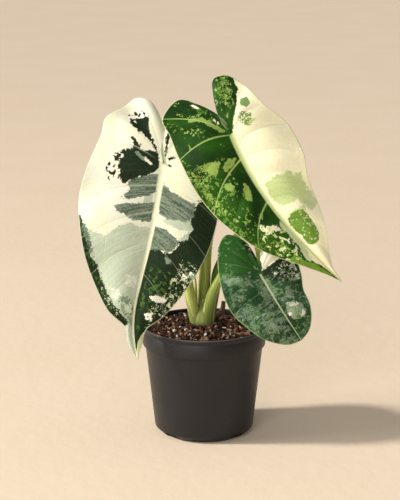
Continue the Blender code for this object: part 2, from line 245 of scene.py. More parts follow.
POT_SIDES = 144
pot = turned([
    (0.0, 0.0), (41.4, 0.0), (42.6, 0.25), (43.3, 0.8), (47.6, 5.0), (48.2, 5.7), (48.5, 7.0),
    (52.0, 39.0), (57.4, 86.9), (57.6, 87.7), (59.0, 87.9), (59.7, 88.2), (59.95, 88.8), (60.0, 90.6),
    (60.0, 101.6), (59.75, 102.0), (59.75, 102.7), (60.0, 103.1), (60.0, 105.9), (59.85, 106.5),
    (59.4, 106.9), (58.9, 107.0), (58.4, 106.8), (58.15, 106.2), (57.9, 104.0), (57.6, 92.0),
    (57.2, 89.6), (56.3, 87.6), (56.1, 86.6), (50.8, 39.0), (47.0, 6.0), (42.4, 1.7), (0.0, 1.6),
], POT_SIDES, "pot_shell", black_plastic)
smooth(pot)
# The drain slots, open below: how far out and up their middles are, and their three sizes.
SLOT_OUT, SLOT_UP = 47.8 * MM, 2.4 * MM
SLOT_DEEP, SLOT_WIDE, SLOT_HIGH = 14 * MM, 17 * MM, 6 * MM
for turn in (45, 135, 225, 315):
    maker = bmesh.new()
    bmesh.ops.create_cube(maker, size=1.0)
    bmesh.ops.transform(maker, verts=maker.verts, matrix=(
        Matrix.Rotation(math.radians(turn), 4, "Z") @ Matrix.Translation((SLOT_OUT, 0, SLOT_UP))
        @ Matrix.Diagonal((SLOT_DEEP, SLOT_WIDE, SLOT_HIGH, 1))))
    corners = [edge for edge in maker.edges if abs(edge.calc_length() - SLOT_DEEP) < 1e-5]
    bmesh.ops.bevel(maker, geom=corners, offset=1.2 * MM, segments=3, profile=0.5, affect="EDGES",
                    material=-1)
    slot_tool = as_piece(maker, "slot_tool_%d" % turn)
    cut = pot.modifiers.new("slot", "BOOLEAN")
    cut.operation = "DIFFERENCE"
    cut.object = slot_tool
    bpy.context.view_layer.update()
    cut_mesh = bpy.data.meshes.new_from_object(pot.evaluated_get(bpy.context.evaluated_depsgraph_get()))
    pot.modifiers.clear()
    pot.data = cut_mesh
    bpy.data.objects.remove(slot_tool, do_unlink=True)
pot.data.set_sharp_from_angle(angle=math.radians(38))
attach(pot, "root")
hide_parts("pot")


# Potting mix: damp composted bark, coir and white perlite. A lumpy bed fills the pot, mounded round
# the feet of the stalks, and loose bark flakes, splinters and perlite grains lie on it.
mix_bed = Finish("damp_bark_bed", 0.9, 0.25)
spot = mix_bed.place()
lumps = mix_bed.noise(spot, 420.0, 5.0, 0.7)
mix_bed.set("Base Color", mix_bed.mix(mix_bed.ramp(lumps, 0.35, 0.75), paint(7, 5, 4), paint(40, 24, 15)))
mix_bed.set("Normal", mix_bed.relief(lumps, 0.0016, 0.9))

BED_SIDES = 120
BED_EDGE, MOUND, MOUND_REACH = 101.5, 3.0, 30.0


def bed_height(radius):
    """How high the bed lies, in mm: level by the wall and mounded round the stalks."""
    return BED_EDGE + MOUND * math.exp(-(radius / MOUND_REACH) ** 2)


rings = [(radius, bed_height(radius)) for radius in (54.5, 49, 44, 39, 34, 29, 24, 19, 14, 9, 4.5)]
bed = turned([(0.0, 1.9), (42.1, 1.9), (46.7, 6.1), (56.0, 87.6), (56.9, 90.0), (57.1, 99.8)] + rings
             + [(0.0, bed_height(0))], BED_SIDES, "potting_mix_bed", mix_bed)
rng = random.Random(5)
for vert in bed.data.vertices:
    radius = math.hypot(vert.co.x, vert.co.y)
    if vert.co.z > 0.1 and radius < 0.056:
        vert.co.z += rng.uniform(-1.4, 0.7) * MM
smooth(bed)
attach(bed, "root")
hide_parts("soil")

# Each stalk's foot, as its place and radius in mm, is kept clear of loose bark.
FEET = ((-8.8, 7.2, 5.6), (0.4, 15.4, 5.0), (3.4, 3.2, 5.3), (8.6, 14.2, 2.9), (-9.2, 18.2, 3.2),
        (9.4, 20.2, 2.4))
BED_WIDE, BED_SEEN = 57.6, 103.0
PHOTO_WIDE, PHOTO_TALL = 400, 500
PIXELS_AWAY = lens.lens / lens.sensor_width * PHOTO_TALL


def seen_at(right, down):
    """Where on the bed, in mm, one pixel of the photograph looks."""
    way = camera.matrix_world.to_3x3() @ Vector((right - PHOTO_WIDE / 2, PHOTO_TALL / 2 - down, -PIXELS_AWAY))
    place = camera_at + way * ((BED_SEEN * MM - camera_at.z) / way.z)
    return place.x / MM, place.y / MM


def clear_of_feet(x, y, room):
    return all(math.hypot(x - fx, y - fy) > radius + room for fx, fy, radius in FEET)


def scatter(name, count, seed, finish, size, flat, long, lift, reach=55.0, places=()):
    """Small broken lumps on the bed, at the given places and then at random, squashed and turned.
    The size is (least, most) in mm; flat and long are its height and length as shares of it."""
    rng = random.Random(seed)
    maker = bmesh.new()
    shade = maker.verts.layers.float.new("shade")
    placed = 0
    while placed < count:
        radius = reach * math.sqrt(rng.random())
        turn = rng.uniform(0, 2 * math.pi)
        x, y = radius * math.cos(turn), radius * math.sin(turn)
        big = rng.uniform(*size)
        if placed < len(places):
            x, y = places[placed]
            radius = math.hypot(x, y)
        elif not clear_of_feet(x, y, big * 0.3) or radius + big * 0.6 > BED_WIDE:
            continue
        placed += 1
        if long < 3:
            made = bmesh.ops.create_icosphere(maker, subdivisions=1, radius=0.6)["verts"]
        else:
            made = bmesh.ops.create_cube(maker, size=1.0)["verts"]
        tint = rng.random()
        for vert in made:
            rounded = vert.co.normalized() * 0.62
            vert.co = vert.co.lerp(rounded, 0.55) * rng.uniform(0.72, 1.18)
            vert[shade] = tint
        height = bed_height(radius) + lift * big + rng.uniform(-0.9, 1.2)
        place = (Matrix.Translation((x * MM, y * MM, height * MM))
                 @ Matrix.Rotation(rng.uniform(0, 2 * math.pi), 4, "Z")
                 @ Matrix.Rotation(rng.gauss(0, 0.5), 4, "Y")
                 @ Matrix.Rotation(rng.gauss(0, 0.55), 4, "X")
                 @ Matrix.Diagonal((big * long * MM, big * rng.uniform(0.5, 0.9) * MM,
                                    big * flat * rng.uniform(0.7, 1.3) * MM, 1)))
        bmesh.ops.transform(maker, matrix=place, verts=made)
    bmesh.ops.recalc_face_normals(maker, faces=maker.faces)
    piece = as_piece(maker, name, finish)
    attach(piece, "root")
    return piece


bark = Finish("bark_flakes", 0.78, 0.35)
spot = bark.place()
tint = bark.number("shade")
fibre = bark.noise(bark.stretch(spot, 500.0, 1600.0, 900.0), 1.0, 4.0, 0.7)
tone = bark.mix(bark.ramp(tint, 0.2, 0.75), paint(24, 12, 8), paint(118, 70, 42))
tone = bark.mix(bark.ramp(tint, 0.74, 0.97), tone, paint(236, 190, 150))
bark.set("Base Color", bark.mix(bark.ramp(fibre, 0.35, 0.7), bark.mix(0.65, tone, paint(12, 7, 5)), tone))
bark.set("Normal", bark.relief(fibre, 0.0005, 0.8))
scatter("bark_flakes", 900, 21, bark, (2.6, 5.6), 0.36, 1.5, 0.2)
scatter("bark_crumbs", 800, 22, bark, (1.2, 2.6), 0.6, 1.3, 0.3)
scatter("bark_splinters", 170, 23, bark, (1.2, 2.2), 0.6, 4.2, 0.6, 50.0)

perlite = Finish("white_perlite", 0.85, 0.3)
spot = perlite.place()
pores = perlite.noise(spot, 1500.0, 3.0, 0.6)
perlite.set("Base Color", perlite.mix(perlite.ramp(pores, 0.3, 0.62), paint(190, 184, 172),
                                      paint(244, 240, 232)))
perlite.set("Normal", perlite.relief(pores, 0.0005, 0.8))
scatter("perlite_grains", 24, 24, perlite, (1.8, 3.4), 0.8, 1.0, 0.5, places=[
    seen_at(*pixel) for pixel in (
        (168.4, 332.5), (174.2, 332.5), (207.7, 331.6), (210.4, 332.7), (205.4, 336.5),
        (233.6, 336.5), (230.9, 328.5), (175.1, 325.8), (173.8, 316.2), (185.4, 317.3))])


# Crown: the short brown stem at the soil line that the stalks grow from. The solid keeps its own
# shape, and only its skin shows between the stalks' feet and the bark round them.
crown_skin = Finish("crown_skin", 0.85, 0.3)
spot = crown_skin.place()
rings_of_skin = crown_skin.noise(crown_skin.stretch(spot, 300.0, 300.0, 1500.0), 1.0, 5.0, 0.7)
crown_skin.set("Base Color", crown_skin.mix(crown_skin.ramp(rings_of_skin, 0.3, 0.7),
                                            paint(34, 20, 12), paint(92, 66, 38)))
crown_skin.set("Normal", crown_skin.relief(rings_of_skin, 0.0008, 0.8))
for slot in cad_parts["crown"].material_slots:
    slot.material = crown_skin.material


# Stalks: fresh watery leaf stalks, round and tapering, each with an open sheath low down whose pale
# margins, partly the sheath's own colour and partly a painted highlight, lap round the next. Each is a
# sheet wound into a tube along its centre line.
def through(points, count):
    """Evenly numbered points of a smooth curve through the given ones."""
    ends = [2 * points[0] - points[1]] + list(points) + [2 * points[-1] - points[-2]]
    line = []
    for step in range(count + 1):
        at = step / count * (len(points) - 1)
        i = min(int(at), len(points) - 2)
        t = at - i
        a, b, c, d = ends[i:i + 4]
        line.append(0.5 * (2 * b + (c - a) * t + (2 * a - 5 * b + 4 * c - d) * t * t
                           + (3 * b - a - 3 * c + d) * t ** 3))
    return line


def stalk_skin(name, low, high, pale, streak):
    skin = Finish(name, 0.42, 0.45)
    round_up = skin.node("ShaderNodeUVMap", uv_map="round_up").outputs[0]
    fine = skin.noise(skin.stretch(round_up, 40.0, 3.0, 1.0), 1.0, 3.0, 0.6)
    broad = skin.noise(skin.stretch(round_up, 7.0, 2.0, 1.0), 1.0, 3.0, 0.5)
    up = skin.node("ShaderNodeSeparateXYZ", {"Vector": round_up}).outputs["Y"]
    tone = skin.mix(skin.ramp(up, 0.02, 0.26), low, high)
    tone = skin.mix(skin.times(skin.ramp(fine, 0.45, 0.75), 0.45), tone, streak)
    tone = skin.mix(skin.times(skin.ramp(broad, 0.5, 0.75), 0.4), tone, pale)
    # The sheath's pale margin: partly the sheath's own colour, partly a painted highlight along the stalk's
    # edge.
    tone = skin.mix(skin.ramp(skin.number("sheath_edge_and_highlight"), 0.25, 0.9), tone, pale)
    foot = skin.ramp(up, 0.035, 0.0)
    tone = skin.mix(skin.times(foot, 0.7), tone, paint(86, 66, 38))
    skin.set("Base Color", tone)
    skin.set("Subsurface Weight", 0.12)
    skin.set("Subsurface Radius", (0.004, 0.004, 0.001))
    skin.set("Subsurface Scale", 0.5)
    skin.set("Normal", skin.relief(fine, 0.0004, 0.45))
    return skin


fresh = stalk_skin("fresh_stalk", paint(94, 106, 38), paint(162, 180, 76), paint(216, 222, 158),
                   paint(120, 142, 46))
# Painted light: a paler copy of the fresh stalk skin for the left stalk, which lies in the left blade's
# shadow.
painted_sunlit_skin = stalk_skin("painted_light_stalk", paint(128, 138, 62), paint(200, 210, 112), paint(226, 230, 172),
                    paint(156, 172, 76))
heart = stalk_skin("inner_sheath_skin", paint(84, 94, 34), paint(124, 136, 54), paint(176, 184, 108),
                   paint(92, 106, 36))
spear_skin = stalk_skin("young_leaf_skin", paint(120, 138, 54), paint(86, 118, 30), paint(196, 208, 122),
                        paint(62, 94, 18))
dried = stalk_skin("dried_stalk", paint(52, 34, 20), paint(74, 52, 32), paint(104, 78, 52), paint(40, 26, 16))


STALK_SIDES, STALK_RINGS = 48, 26
# How far round the stalk a sheath laps at its foot and how fast its edge rises; then in mm its pale
# margin, which is partly a painted highlight, and the crease beside it, and the fine flutes as a
# share of the radius.
LAP_ROUND, LAP_SLOPE = math.radians(125), math.radians(9)
PALE_MARGIN_AND_HIGHLIGHT, CREASE, CREASE_DEPTH = 1.1, 1.6, 0.25
FLUTES = 0.012


def stalk(name, path, foot, end, sheath, finish, slot, replaced, end_at=None, end_way=None, swell=0.0):
    """A closed round stalk along a path in mm. Its sheath is (how far up, which way it faces)."""
    points = [Vector(p) for p in path]
    if end_at is not None:
        points += [end_at - end_way * 4.0, end_at]
    steps = STALK_RINGS * (len(points) - 1)
    line = through(points, steps)
    maker = bmesh.new()
    bmesh.ops.create_grid(maker, x_segments=STALK_SIDES, y_segments=steps, size=1.0)
    round_up = maker.loops.layers.uv.new("round_up")
    edge = maker.verts.layers.float.new("sheath_edge_and_highlight")
    for face in maker.faces:
        for loop in face.loops:
            loop[round_up].uv = (loop.vert.co.x * 0.5 + 0.5, loop.vert.co.y * 0.5 + 0.5)
    ways = []
    side = Vector((1, 0, 0))
    for i in range(steps + 1):
        way = (line[min(i + 1, steps)] - line[max(i - 1, 0)]).normalized()
        if i == 0:
            way = Vector((0, 0, 1))
        if i == steps and end_way is not None:
            way = end_way
        side = (side - way * side.dot(way)).normalized()
        ways.append((way, side, way.cross(side)))
    top, turn = sheath
    for vert in maker.verts:
        angle = (vert.co.x * 0.5 + 0.5) * 2 * math.pi
        i = min(steps, round((vert.co.y * 0.5 + 0.5) * steps))
        share = i / steps
        way, out, other = ways[i]
        radius = end + (foot - end) * (1 - share) ** 1.1 + swell * math.sin(math.pi * share) ** 1.5
        half_width = LAP_ROUND * max(0.0, 1 - share / top)
        away = abs((angle - math.radians(turn) + math.pi) % (2 * math.pi) - math.pi)
        lap = max(0.0, min(1.0, (half_width - away) / LAP_SLOPE))
        lap = lap * lap * (3 - 2 * lap)
        radius *= 1.0 + (0.08 + 0.24 * math.sin(math.pi * min(1.0, share / top))) * lap
        near = abs(half_width - away) * radius
        vert[edge] = max(0.0, 1 - near / PALE_MARGIN_AND_HIGHLIGHT) if half_width > 0.02 and share < top else 0.0
        if half_width <= away and share < top:
            radius -= CREASE_DEPTH * (1 - share) * max(0.0, 1 - near / CREASE)
        radius *= 1 + FLUTES * math.sin(9 * angle + 5 * share)
        vert.co = (line[i] + radius * (math.cos(angle) * out + math.sin(angle) * other)) * MM
    bmesh.ops.remove_doubles(maker, verts=maker.verts, dist=2e-6)
    bmesh.ops.holes_fill(maker, edges=[e for e in maker.edges if e.is_boundary], sides=0)
    bmesh.ops.recalc_face_normals(maker, faces=maker.faces)
    piece = as_piece(maker, name, finish)
    smooth(piece)
    piece.data.set_sharp_from_angle(angle=math.radians(50))
    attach(piece, "root")
    if replaced:
        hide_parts(replaced)
    return piece


stalk("inner_sheaths", ((-1.4, 8.2, 103.8), (-1.2, 8.6, 112), (-0.4, 9.6, 122), (0.4, 11.0, 134)), 9.4, 3.0,
      (0.9, 250), heart, "stalk_green", None)
stalk("young_leaf_spear", ((8.6, 14.2, 104.6), (9.2, 13.8, 124), (10.6, 13.4, 142), (12, 12.4, 156),
                           (14.8, 11.2, 168), (18.5, 10.4, 179)), 2.2, 0.7, (0.7, 10), spear_skin,
      "stalk_green", "young_leaf", swell=2.9)
stalk("scale_leaf_tip", ((-9.2, 18.2, 104.6), (-8.8, 18.2, 124), (-8.2, 16.8, 141), (-9.4, 15.2, 153)),
      2.8, 0.6, (0.8, 60), fresh, "stalk_green", "scale_leaf")
stalk("old_stalk_stub", ((9.4, 20.2, 104.6), (13.4, 22.2, 109.5), (18, 24.4, 115.5), (19.4, 25.2, 123)),
      2.2, 2.1, (0.9, 0), dried, "dry_stalk", "old_stalk")


# Blades: velvety peltate leaves. Each is one sheet whose mesh rows are its side veins, quilted up
# between them, waved at the margin and thickened into ribs beneath, with its own chimera pattern.
def rib_rows(ribs, count):
    """The rows between the given ribs: where each leaves the midrib and meets both margins."""
    ribs = np.array(ribs, float)
    first_fan = int(np.argmax(ribs[:, 0] == 0.0))
    at = np.linspace(0, len(ribs) - 1, count + 1)
    i = np.minimum(at.astype(int), len(ribs) - 2)
    t = (at - i)[:, None]
    a, b = ribs[np.maximum(i - 1, 0)], ribs[i]
    c, d = ribs[i + 1], ribs[np.minimum(i + 2, len(ribs) - 1)]
    rows = 0.5 * (2 * b + (c - a) * t + (2 * a - 5 * b + 4 * c - d) * t ** 2
                  + (3 * b - a - 3 * c + d) * t ** 3)
    rows[:, 0] = np.where(at >= first_fan, 0.0, np.maximum(rows[:, 0], 0.0))
    return rows


ROWS_A_RIB = 64
CALM_RIBS, FULL_BEND, FULL_SWELL, LOBE_LONG = 3.5, 40, 30, 50


def blade_surface(leaf, half, row, share):
    """For points given by side, row and share of the way from midrib to margin: their flat place,
    their height above the leaf's plane and the length of their row, all in mm. Short rows bend and
    swell less, and the waves die out over the last few ribs, where the two lobes meet."""
    ribs = leaf["ribs"]
    length = ribs[0][0]
    count = (len(ribs) - 1) * ROWS_A_RIB
    table = rib_rows(ribs, count)
    at = np.clip(row * ROWS_A_RIB, 0, count)
    low = np.minimum(at.astype(int), count - 1)
    part = (at - low)[:, None]
    values = table[low] * (1 - part) + table[low + 1] * part
    root = np.stack([values[:, 0], leaf["bow"] * np.sin(math.pi * np.minimum(values[:, 0] / length, 1)
                                                         ** leaf["bow_late"])], 1)
    margin = np.where(half[:, None] < 0, values[:, 1:3], values[:, 3:5])
    reach = margin - root
    size_of = np.linalg.norm(reach, axis=1)
    across = np.stack([reach[:, 1], -reach[:, 0]], 1) / np.maximum(size_of, 1e-6)[:, None]
    bend = leaf["bend"] * np.sin(math.pi * share) * np.minimum(1, size_of / FULL_BEND)
    flat = root + reach * share[:, None] - across * (bend * half)[:, None]
    drop, start, lobe_drop = leaf["arch"]
    height = -drop * np.maximum(0, (flat[:, 0] / length - start) / (1 - start)) ** 2
    height -= lobe_drop * (np.maximum(0, -flat[:, 0]) / LOBE_LONG) ** 2
    size = np.minimum(1, size_of / FULL_SWELL)
    calm = np.clip((len(ribs) - 1 - row) / CALM_RIBS, 0, 1)
    height += leaf["pillow"] * size * (0.3 + 0.7 * calm) * np.abs(np.sin(math.pi * share ** 0.9)) ** 1.5
    amount, pace, phase = leaf["wave"]
    height += amount * size * calm * share ** 2.2 * np.sin(math.pi * pace * row + phase * (2 + half))
    quilt = np.abs(np.sin(math.pi * row)) ** 0.8 * np.sin(math.pi * np.minimum(1, share * 1.02)) ** 0.6
    change = (table[low + 1] - table[low]) * ROWS_A_RIB
    to_next_vein = np.where(half[:, None] < 0, change[:, 1:3], change[:, 3:5]) * share[:, None]
    to_next_vein[:, 0] += change[:, 0] * (1 - share)
    quilt *= np.minimum(1, np.linalg.norm(to_next_vein, axis=1) * 7 / length)
    height += leaf["quilt"] * size * calm * quilt
    return flat, height, size_of


def inside_by(places, outline):
    """How many mm each place lies inside a drawn outline, less than 0 outside it."""
    outline = np.array(outline, float)
    nearest = np.full(len(places), 1e9)
    inside = np.zeros(len(places), bool)
    for a, b in zip(outline, np.roll(outline, -1, 0)):
        line = b - a
        share = np.clip(((places - a) @ line) / max(line @ line, 1e-9), 0, 1)
        nearest = np.minimum(nearest, np.linalg.norm(places - a - share[:, None] * line, axis=1))
        if abs(line[1]) > 1e-9:
            crosses = (a[1] > places[:, 1]) != (b[1] > places[:, 1])
            inside ^= crosses & (places[:, 0] < a[0] + line[0] * (places[:, 1] - a[1]) / line[1])
    return np.where(inside, nearest, -nearest)


FLECK_FROM, PEPPER_FROM = 1.28, 1.32


def blade_skin(name, leaf, under):
    """Chimera pattern: each layer's drawn outline is broken up by cell-sized steps and streaks, then
    come marbling, flecks, pepper, veins and margin. The under side is the same, paler and ribbed."""
    skin = Finish(name, 0.6 if under else 0.56, 0.15)
    spot = skin.place()
    uneven = skin.crooked(spot, 420.0, 0.005)
    veins = skin.node("ShaderNodeUVMap", uv_map="veins").outputs[0]
    cell = skin.cells(uneven, 900.0)
    blocks = skin.cells(uneven, 360.0)
    streak = skin.noise(skin.stretch(veins, 190.0, 5.0, 1.0), 1.0, 3.0, 0.6, 0.3)
    wander = skin.noise(spot, 210.0, 4.0, 0.62)
    grain = skin.plus(skin.times(streak, 0.5), skin.times(skin.noise(spot, 700.0, 4.0, 0.7), 0.5))
    soft = skin.noise(spot, 38.0, 3.0, 0.5)
    jag = skin.plus(skin.plus(skin.swing(cell[0], 0.9), skin.swing(blocks[0], 2.0)), skin.swing(wander, 5.0))
    jag = skin.times(jag, skin.ramp(skin.number("midrib"), 0.7, 3.0))
    tone = skin.mix(skin.ramp(soft, 0.35, 0.65), *leaf["base"])
    for each in leaf["layers"]:
        broken = skin.plus(skin.number(each["name"]), skin.times(jag, each["jag"]))
        if each.get("streaks"):
            broken = skin.plus(broken, skin.swing(streak, each["streaks"]))
        blur = each.get("soft", 0.25)
        mask = skin.ramp(broken, -blur, blur)
        if each.get("holes"):
            holed = skin.plus((blocks if each.get("coarse") else cell)[1], skin.swing(wander, 1.6))
            holed = skin.math("GREATER_THAN", holed, 1.0 - each["holes"])
            mask = skin.times(mask, skin.math("SUBTRACT", 1.0, holed))
        if each.get("opacity"):
            mask = skin.times(mask, each["opacity"])
        tone = skin.mix(mask, tone, skin.mix(skin.ramp(grain, 0.38, 0.62), *each["colour"]))
    if leaf.get("marble"):
        swirl = skin.noise(skin.stretch(veins, 48.0, 7.0, 1.0), 1.0, 6.0, 0.75, 1.6)
        swirl = skin.plus(swirl, skin.swing(skin.noise(spot, 70.0, 3.0, 0.6), 0.7))
        swirl = skin.times(skin.ramp(swirl, 0.5, 0.64), skin.ramp(skin.number("marble"), 0.0, 4.0))
        tone = skin.mix(skin.times(swirl, leaf["marble"][0]), tone, leaf["marble"][1])
    flecks = skin.cells(uneven, 540.0)
    clumps = skin.times(skin.noise(spot, 95.0, 3.0, 0.6), 0.9)
    fleck = skin.plus(skin.plus(skin.times(flecks[1], 0.4), clumps), skin.number("fleck"))
    fleck = skin.math("GREATER_THAN", fleck, FLECK_FROM)
    tone = skin.mix(fleck, tone, skin.mix(flecks[0], *leaf["fleck_colour"]))
    pepper = skin.plus(skin.number("pepper"), skin.plus(skin.times(cell[2], 0.62), skin.times(wander, 0.8)))
    tone = skin.mix(skin.math("GREATER_THAN", pepper, PEPPER_FROM), tone, leaf["pepper_colour"])
    lift = skin.math("ABSOLUTE", skin.swing(skin.noise(spot, 1400.0, 2.0), 0.25))
    tone = skin.mix(lift, tone, skin.mix(0.5, tone, paint(160, 180, 120)))
    rib = skin.ramp(skin.number("rib"), 1.0, 0.15)
    tone = skin.mix(skin.times(rib, leaf["rib_show"]), tone, leaf["rib_colour"])
    midrib = skin.ramp(skin.number("midrib"), 1.0, 0.45)
    tone = skin.mix(skin.times(midrib, 0.92), tone, leaf["midrib_colour"])
    margin = skin.ramp(skin.number("margin"), 0.95, 0.35)
    tone = skin.mix(skin.times(margin, 0.75), tone, leaf["margin_colour"])
    net = skin.node("ShaderNodeTexVoronoi", {"Vector": skin.stretch(veins, 60.0, 14.0, 1.0), "Scale": 1.0},
                    feature="DISTANCE_TO_EDGE").outputs["Distance"]
    groove = skin.math("MAXIMUM", rib, midrib)
    if under:
        tone = skin.mix(0.5, tone, paint(150, 172, 118))
        tone = skin.mix(skin.times(rib, 0.6), tone, paint(196, 208, 150))
        net = skin.ramp(net, 0.12, 0.0)
    else:
        net = skin.ramp(net, 0.0, 0.12)
        groove = skin.math("SUBTRACT", 1.0, groove)
    skin.set("Base Color", tone)
    skin.set("Sheen Weight", 0.025)
    skin.set("Sheen Roughness", 0.4)
    skin.set("Sheen Tint", (0.92, 1.0, 0.86, 1.0))
    skin.set("Subsurface Weight", 0.08)
    skin.set("Subsurface Radius", (0.003, 0.004, 0.0012))
    skin.set("Subsurface Scale", 0.4)
    nap = skin.relief(skin.noise(spot, 3800.0, 2.0, 0.6), 0.00006, 0.5)
    nap = skin.relief(skin.times(net, skin.number("spread")), 0.00025, 0.35, nap)
    skin.set("Normal", skin.relief(groove, 0.0005, 0.4, nap))
    return skin


SHEET_THICK, MIDRIB_THICK = 0.8 * MM, 2.6 * MM
GRID_A_RIB, GRID_A_HALF, MOST_RIBS = 14, 52, 14
OPEN_VEINS, PAST_STALK, STALK_BEHIND = 9.0, 6.0, 3.0


def blade(name, leaf, replaced):
    """Bends a grid into one leaf, marks where its patterns lie, thickens it and gives its skins.
    Returns where its stalk ends behind it, and which way the leaf faces there.

    A leaf is given in mm from where its stalk joins it, along the midrib and across. Each row of
    "ribs" is where a side vein leaves the midrib and where it meets the left and right margins.
    "bow" bends the midrib and "bend" the veins; "arch", "pillow", "wave" and "quilt" lift the sheet.
    "pepper" and "fleck" are lists of (how many, the mm over which they thin out, outline)."""
    ribs = leaf["ribs"]
    last = len(ribs) - 1
    maker = bmesh.new()
    bmesh.ops.create_grid(maker, x_segments=2 * GRID_A_HALF, y_segments=last * GRID_A_RIB, size=1.0)
    veins = maker.loops.layers.uv.new("veins")
    for face in maker.faces:
        for loop in face.loops:
            loop[veins].uv = ((loop.vert.co.y * 0.5 + 0.5) * last / MOST_RIBS, loop.vert.co.x * 0.5 + 0.5)
    mesh = bpy.data.meshes.new(name)
    maker.to_mesh(mesh)
    maker.free()
    grid = np.empty(len(mesh.vertices) * 3)
    mesh.vertices.foreach_get("co", grid)
    grid = grid.reshape(-1, 3)
    row = (grid[:, 1] * 0.5 + 0.5) * last
    half = np.where(grid[:, 0] < 0, -1.0, 1.0)
    share = np.abs(grid[:, 0])
    flat, height, reach = blade_surface(leaf, half, row, share)
    step = 0.01
    ahead = blade_surface(leaf, half, np.clip(row + step, 0, last), share)[0]
    behind = blade_surface(leaf, half, np.clip(row - step, 0, last), share)[0]
    spacing = np.linalg.norm(ahead - behind, axis=1) / (2 * step)
    strong = np.where(half < 0, np.isin(np.round(row), leaf["strong"][0]),
                      np.isin(np.round(row), leaf["strong"][1]))
    width = np.where(strong, np.where(half < 0, *leaf["rib_width"]), 0.45) * (1.15 - 0.85 * share)
    along = np.clip(flat[:, 0] / ribs[0][0], 0, 1)
    marks = {
        "rib": np.clip(np.abs(row - np.round(row)) * spacing / width, 0, 3),
        "midrib": np.clip(np.where(row <= last, share * reach, 9)
                          / (leaf["midrib_width"] * (1.0 - 0.72 * along)), 0, 3),
        "margin": np.clip((1 - share) * reach, 0, 4),
        "spread": np.clip(spacing / OPEN_VEINS - 0.25, 0, 1),
        "pepper": np.zeros(len(row)),
        "fleck": np.zeros(len(row)),
    }
    marks["midrib"] += 3 * np.clip(-flat[:, 0] / PAST_STALK, 0, 1)
    marks["rib"] += np.where(half < 0, *leaf["faint"]) + 0.8 * np.clip(1 - spacing / OPEN_VEINS, 0, 1)
    marks["rib"] += np.where(strong, 0.0, leaf["weak"])
    for each in leaf["layers"]:
        depths = [inside_by(flat, patch) for patch in each["patches"]]
        marks[each["name"]] = np.clip(np.max(depths, axis=0), -9, 9)
    for scattered in ("pepper", "fleck"):
        for amount, fade, patch in leaf[scattered]:
            depth = np.clip(inside_by(flat, patch) / fade, 0, 1)
            marks[scattered] = np.maximum(marks[scattered], amount * depth)
    if leaf.get("marble"):
        marks["marble"] = np.clip(inside_by(flat, leaf["marble"][2]), -9, 9)
    toward = Vector(leaf["toward"]).normalized()
    across = Vector(leaf["across"])
    across = (across - toward * across.dot(toward)).normalized()
    face_way = across.cross(toward).normalized()
    if face_way.y > 0:
        face_way = -face_way
    places = (np.array(leaf["at"]) + flat[:, :1] * np.array(toward) + flat[:, 1:] * np.array(across)
              + height[:, None] * np.array(face_way)) * MM
    mesh.vertices.foreach_set("co", places.ravel())
    for mark, values in marks.items():
        mesh.attributes.new(mark, "FLOAT", "POINT").data.foreach_set("value", values)
    ribbed = 0.14 * np.clip(1 - np.abs(row - np.round(row)) * spacing / 1.6, 0, 1) * (1 - share)
    central = (0.9 - 0.65 * along) * np.clip(1 - share * reach / 4.0, 0, 1) ** 0.7
    mesh.attributes.new("thick", "FLOAT", "POINT").data.foreach_set("value", np.maximum(ribbed, central))
    maker = bmesh.new()
    maker.from_mesh(mesh)
    bmesh.ops.remove_doubles(maker, verts=maker.verts, dist=2e-6)
    bmesh.ops.dissolve_degenerate(maker, edges=maker.edges, dist=1e-6)
    bmesh.ops.recalc_face_normals(maker, faces=maker.faces)
    if sum((f.normal * f.calc_area() for f in maker.faces), Vector()).dot(face_way) < 0:
        bmesh.ops.reverse_faces(maker, faces=maker.faces)
    piece = as_piece(maker, name, blade_skin(name + "_face", leaf, False),
                     blade_skin(name + "_back", leaf, True))
    bpy.data.meshes.remove(mesh)
    group = piece.vertex_groups.new(name="thickness")
    thick = np.empty(len(piece.data.vertices))
    piece.data.attributes["thick"].data.foreach_get("value", thick)
    for index, weight in enumerate(thick):
        if weight > 0.001:
            group.add([index], float(weight), "REPLACE")
    solid = piece.modifiers.new("thickness", "SOLIDIFY")
    solid.thickness = MIDRIB_THICK
    solid.offset = -1.0
    solid.vertex_group = "thickness"
    solid.thickness_vertex_group = SHEET_THICK / MIDRIB_THICK
    solid.material_offset = 1
    smooth(piece)
    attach(piece, "root")
    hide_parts(replaced)
    return Vector(leaf["at"]) - face_way * STALK_BEHIND, face_way


def layer(name, light, dark, jag, *patches, **more):
    """One layer of a pattern: two paint colours, how jagged its edge is, and its outlines in mm
    along and across the leaf. More may be how soft its edge is, how streaky along the veins, the
    share of it that is holes, whether they are coarse, and its opacity."""
    return dict(more, name=name, colour=(paint(*light), paint(*dark)), jag=jag, patches=patches)


